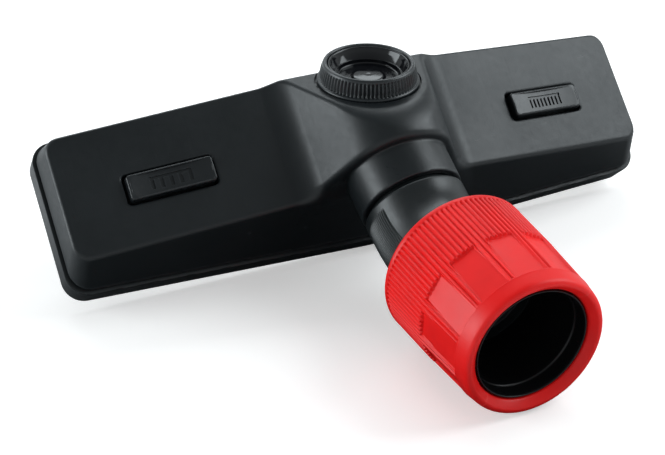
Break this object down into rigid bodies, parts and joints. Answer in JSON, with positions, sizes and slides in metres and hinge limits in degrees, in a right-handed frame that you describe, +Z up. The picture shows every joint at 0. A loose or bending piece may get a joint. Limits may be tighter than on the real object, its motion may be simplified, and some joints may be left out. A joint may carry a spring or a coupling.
{
  "type": "pet grooming suction head",
  "caption": "T-shaped suction grooming head with two push-button comb sets, an air-bleed knob, a swivelling elbow and a screw-clamp hose socket.",
  "frame": {"origin": "centre of the footprint at floor level, with the head lying on the lower front edge of its tray and on its clamp ring", "axes": "+X along the nozzle, +Z up, -Y the way the hose leaves"},
  "size_m": [0.24, 0.1636, 0.0757],
  "materials": {
    "housing_black": "satin moulded black, very fine spark-eroded texture",
    "tray_black": "satin moulded black",
    "knob_black": "satin black with fine moulded ribs",
    "cup_gloss_black": "glossy black",
    "button_black": "satin black with a raised comb pictogram",
    "comb_black": "matt black",
    "elbow_black": "satin black, finely ribbed grip patches",
    "liner_black": "smooth black rubber",
    "ring_red": "satin bright red, ribbed rear zone and panelled front zone",
    "grey_plastic": "dark grey moulded plastic",
    "seal_rubber": "matt black rubber",
    "spring_steel": "bright steel wire",
    "screw_steel": "zinc-plated steel"
  },
  "bodies": {
    "head": {"top_housing": "housing_black", "base_tray": "tray_black", "tray_seal": "seal_rubber", "neck_clip": "spring_steel", "throat_bush": "grey_plastic", "housing_screw_1": "screw_steel", "housing_screw_2": "screw_steel", "housing_screw_3": "screw_steel", "housing_screw_4": "screw_steel", "housing_screw_5": "screw_steel", "housing_screw_6": "screw_steel"},
    "regulator": {"regulator_knob": "knob_black", "knob_cup": "cup_gloss_black", "valve_rotor": "grey_plastic", "friction_washer": "spring_steel", "regulator_screw": "screw_steel"},
    "left_button_set": {"left_button": "button_black", "left_comb": "comb_black", "left_button_spring_a": "spring_steel", "left_button_spring_b": "spring_steel"},
    "right_button_set": {"right_button": "button_black", "right_comb": "comb_black", "right_button_spring_a": "spring_steel", "right_button_spring_b": "spring_steel"},
    "elbow": {"elbow_tube": "elbow_black", "neck_seal_ring": "seal_rubber", "hose_liner": "liner_black", "hose_seal": "seal_rubber"},
    "clamp": {"clamp_ring": "ring_red"},
    "wedge": {"wedge_ring": "grey_plastic"}
  },
  "joints": [
    {"name": "regulator_turn", "type": "hinge", "parent": "head", "child": "regulator", "pos_m": [0, 0.04167, 0.0685], "axis": [0, 0, 1], "range_deg": [0, 60]},
    {"name": "left_button_press", "type": "slide", "parent": "head", "child": "left_button_set", "axis": [0, 0.6828, -0.7306], "range_m": [0, 0.003], "stiffness_N_per_m": 900, "springref_m": -0.001},
    {"name": "right_button_press", "type": "slide", "parent": "head", "child": "right_button_set", "axis": [0, 0.6828, -0.7306], "range_m": [0, 0.003], "stiffness_N_per_m": 900, "springref_m": -0.001},
    {"name": "elbow_swivel", "type": "hinge", "parent": "head", "child": "elbow", "pos_m": [0, 0.00457, 0.03648], "axis": [0, -0.8801, -0.4747], "continuous": true},
    {"name": "clamp_turn", "type": "hinge", "parent": "elbow", "child": "clamp", "pos_m": [0, -0.05467, 0.02763], "axis": [0, -0.9995, -0.0325], "range_deg": [0, 90]},
    {"name": "wedge_slide", "type": "slide", "parent": "elbow", "child": "wedge", "axis": [0, -0.9995, -0.0325], "range_m": [0, 0.002]}
  ],
  "couplings": [
    {"joint": "wedge_slide", "follows": "clamp_turn", "m_per_rad": 0.001272}
  ]
}
